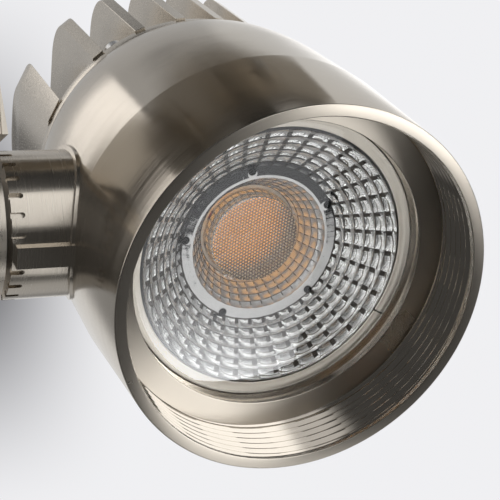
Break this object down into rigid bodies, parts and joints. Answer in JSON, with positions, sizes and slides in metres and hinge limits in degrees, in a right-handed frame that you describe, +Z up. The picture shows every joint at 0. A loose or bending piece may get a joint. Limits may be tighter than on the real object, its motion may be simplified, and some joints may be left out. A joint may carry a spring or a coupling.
{
  "type": "track lighting fixture",
  "caption": "Spot lamp head with rear cooling fins, tilting on a notched knuckle and swivelling arm below a box-shaped track adapter.",
  "frame": {"origin": "centre of the track seat over the arm's pan axis, on top of the adapter", "axes": "+Z up towards the track; +X along the track, from the arm to the head at rest; the head faces -Y, pitched 30 degrees down"},
  "size_m": [0.12, 0.1138, 0.162],
  "materials": {
    "satin_nickel": "satin nickel plate, brushed round the head",
    "satin_nickel_cast": "satin nickel plate on plain fins",
    "satin_nickel_ring": "satin nickel plate, turned",
    "satin_nickel_boss": "satin nickel plate, brushed round the tilt axis",
    "satin_nickel_arm": "satin nickel plate, brushed",
    "satin_nickel_case": "satin nickel plate, brushed lengthways",
    "steel": "zinc-plated steel",
    "thermal_pad": "soft matt silicone pad",
    "led_board": "white solder mask",
    "phosphor": "phosphor in clear silicone",
    "white_plastic": "moulded white plastic",
    "clear_acrylic": "clear moulded acrylic with a polished face",
    "black_plastic": "moulded black plastic",
    "red_insulation": "red lead insulation",
    "black_insulation": "black lead insulation",
    "white_insulation": "white lead insulation",
    "brass": "plain brass",
    "circuit_board": "green solder mask",
    "winding": "ferrite core with yellow tape",
    "capacitor_sleeve": "shrink sleeve",
    "chip_epoxy": "black epoxy",
    "green_plastic": "green terminal plastic"
  },
  "bodies": {
    "adapter": {"adapter_case": "satin_nickel_case", "adapter_lid": "satin_nickel_case", "adapter_lid_screws": "steel", "pan_stop_pin": "steel", "driver_board": "circuit_board", "driver_board_screws": "steel", "transformer": "winding", "capacitors": "capacitor_sleeve", "driver_chips": "chip_epoxy", "terminal_block": "green_plastic", "adapter_leads": "white_insulation", "turret_wipers": "brass"},
    "arm": {"arm_post": "satin_nickel_arm", "arm_cover": "satin_nickel_arm", "arm_cover_screws": "steel", "tilt_stop_pin": "steel", "swivel_collar": "satin_nickel_arm", "pan_tube": "steel", "pan_nut": "brass", "pan_spring_washer": "steel", "pan_stop_washer": "steel", "arm_lead_live": "red_insulation", "arm_lead_return": "black_insulation"},
    "head": {"head_housing": "satin_nickel", "heat_sink": "satin_nickel_cast", "heat_sink_screws": "steel", "thermal_pad": "thermal_pad", "led_board": "led_board", "led_phosphor": "phosphor", "led_holder": "white_plastic", "led_holder_screws": "steel", "lens": "clear_acrylic", "lens_holder": "black_plastic", "lens_seat_ring": "satin_nickel_ring", "tilt_boss": "satin_nickel_boss", "boss_screws": "steel", "tilt_axle": "steel", "tilt_nut": "steel", "tilt_spring_washer": "steel", "tilt_friction_washer": "black_plastic", "head_lead_live": "red_insulation", "head_lead_return": "black_insulation"},
    "track_lock": {"turret": "white_plastic", "turret_contacts": "brass", "lock_lever": "satin_nickel_case", "lock_lever_screw": "steel"}
  },
  "joints": [
    {"name": "pan", "type": "hinge", "parent": "adapter", "child": "arm", "pos_m": [0, 0, -0.0285], "axis": [0, 0, 1], "range_deg": [-165, 165]},
    {"name": "tilt", "type": "hinge", "parent": "arm", "child": "head", "pos_m": [0.0013, 0, -0.105], "axis": [1, 0, 0], "range_deg": [-60, 60]},
    {"name": "track_lock_turn", "type": "hinge", "parent": "adapter", "child": "track_lock", "pos_m": [0.066, 0, -0.015], "axis": [0, 0, 1], "range_deg": [0, 90]}
  ]
}
